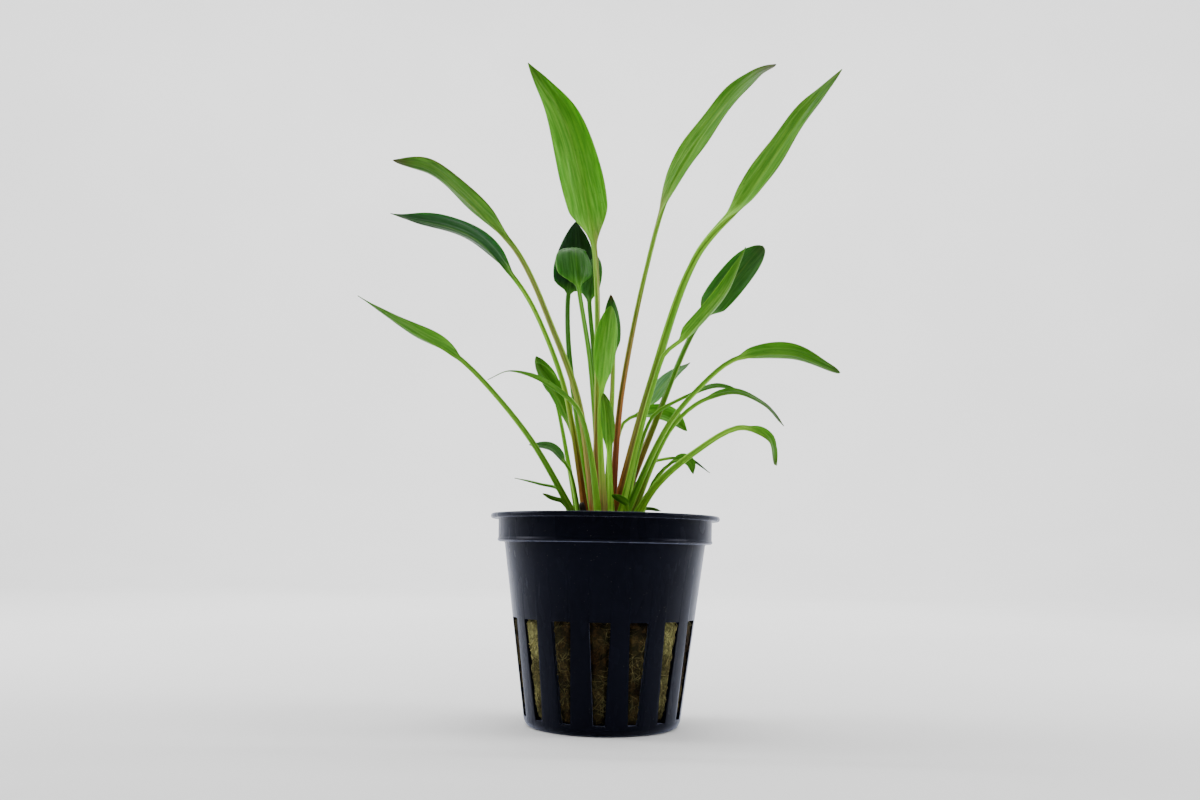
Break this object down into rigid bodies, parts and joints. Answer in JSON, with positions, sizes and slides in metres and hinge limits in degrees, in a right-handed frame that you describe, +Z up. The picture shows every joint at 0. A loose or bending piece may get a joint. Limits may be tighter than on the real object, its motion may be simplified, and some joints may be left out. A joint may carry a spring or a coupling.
{
  "type": "potted cryptocoryne",
  "caption": "Clump of water trumpet with narrow and broad green leaves on thin stalks, rooted in rock wool in a round black net pot with slotted walls and a collared rim.",
  "frame": {"origin": "centre of the underside of the pot's floor", "axes": "+Z up along the pot's axis, -Y to the front of the clump, +X to its right"},
  "size_m": [0.1137, 0.0546, 0.1685],
  "materials": {
    "pot_plastic": "gloss",
    "rock_wool": "matte",
    "crown": "satin",
    "leaf_green": "satin",
    "leaf_dark": "satin"
  },
  "bodies": {
    "root": {"net_pot": "pot_plastic", "rock_wool": "rock_wool", "crown_left": "crown", "crown_front": "crown", "crown_back": "crown", "crown_right": "crown", "leaf_tall_middle": "leaf_green", "leaf_tall_right": "leaf_green", "leaf_far_right": "leaf_green", "leaf_upper_left": "leaf_green", "leaf_left_dark": "leaf_dark", "leaf_far_left": "leaf_green", "leaf_back_left": "leaf_dark", "leaf_back_arch": "leaf_dark", "leaf_back_right": "leaf_dark", "leaf_short_front": "leaf_green", "leaf_short_back": "leaf_dark", "leaf_young": "leaf_green", "leaf_right_bright": "leaf_green", "leaf_right_dark": "leaf_dark", "leaf_right_arch": "leaf_green", "leaf_right_upper_bow": "leaf_green", "leaf_right_lower_bow": "leaf_green", "leaf_right_droop": "leaf_green", "leaf_low_right_thin": "leaf_green", "leaf_low_right": "leaf_green", "leaf_far_back": "leaf_dark", "leaf_back_bow": "leaf_green", "leaf_left_inner": "leaf_dark", "leaf_left_bow": "leaf_green", "leaf_low_left": "leaf_dark", "leaf_left_back": "leaf_green", "leaf_low_left_thin": "leaf_green", "leaf_lowest_left": "leaf_green", "leaf_lowest_right": "leaf_green", "leaf_small_round": "leaf_dark", "leaf_small_dark": "leaf_dark"}
  },
  "joints": []
}
